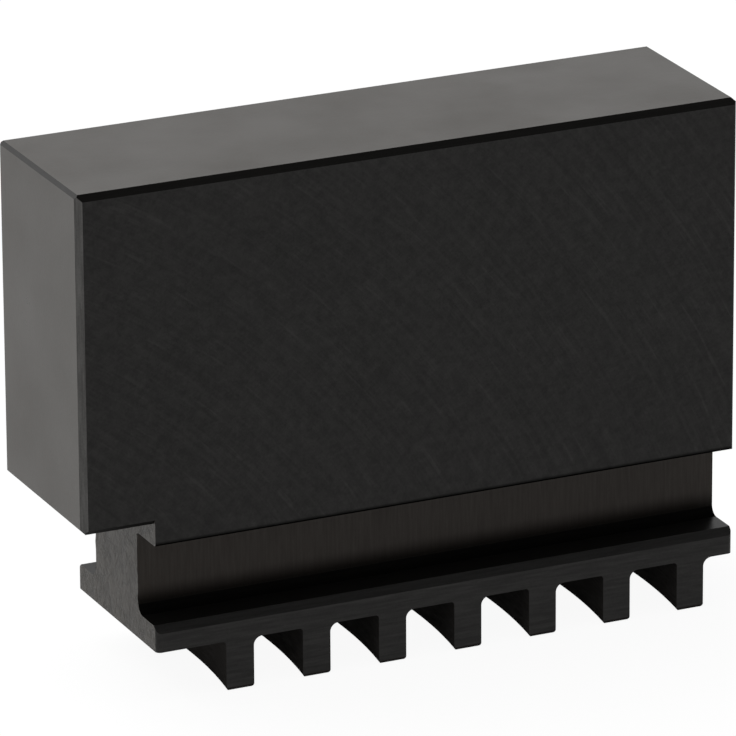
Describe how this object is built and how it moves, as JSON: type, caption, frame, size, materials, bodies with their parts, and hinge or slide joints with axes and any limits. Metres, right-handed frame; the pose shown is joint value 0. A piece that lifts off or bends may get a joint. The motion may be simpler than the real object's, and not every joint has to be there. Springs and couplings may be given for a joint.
{
  "type": "machinable soft jaw",
  "caption": "One-piece soft jaw for a scroll chuck: plain rectangular head over a necked base with guide grooves and curved scroll teeth.",
  "frame": {"origin": "on the plane of the tooth tips, below the middle of the jaw's length and thickness", "axes": "+X from the nose, at the chuck's centre, to the rear end; +Y across the thickness; +Z from the tooth tips up to the top of the head"},
  "size_m": [0.0686, 0.0192, 0.0518],
  "materials": {
    "blackened_steel": "ground and milled steel, blackened all over"
  },
  "bodies": {
    "root": {"soft_jaw": "blackened_steel"}
  },
  "joints": []
}
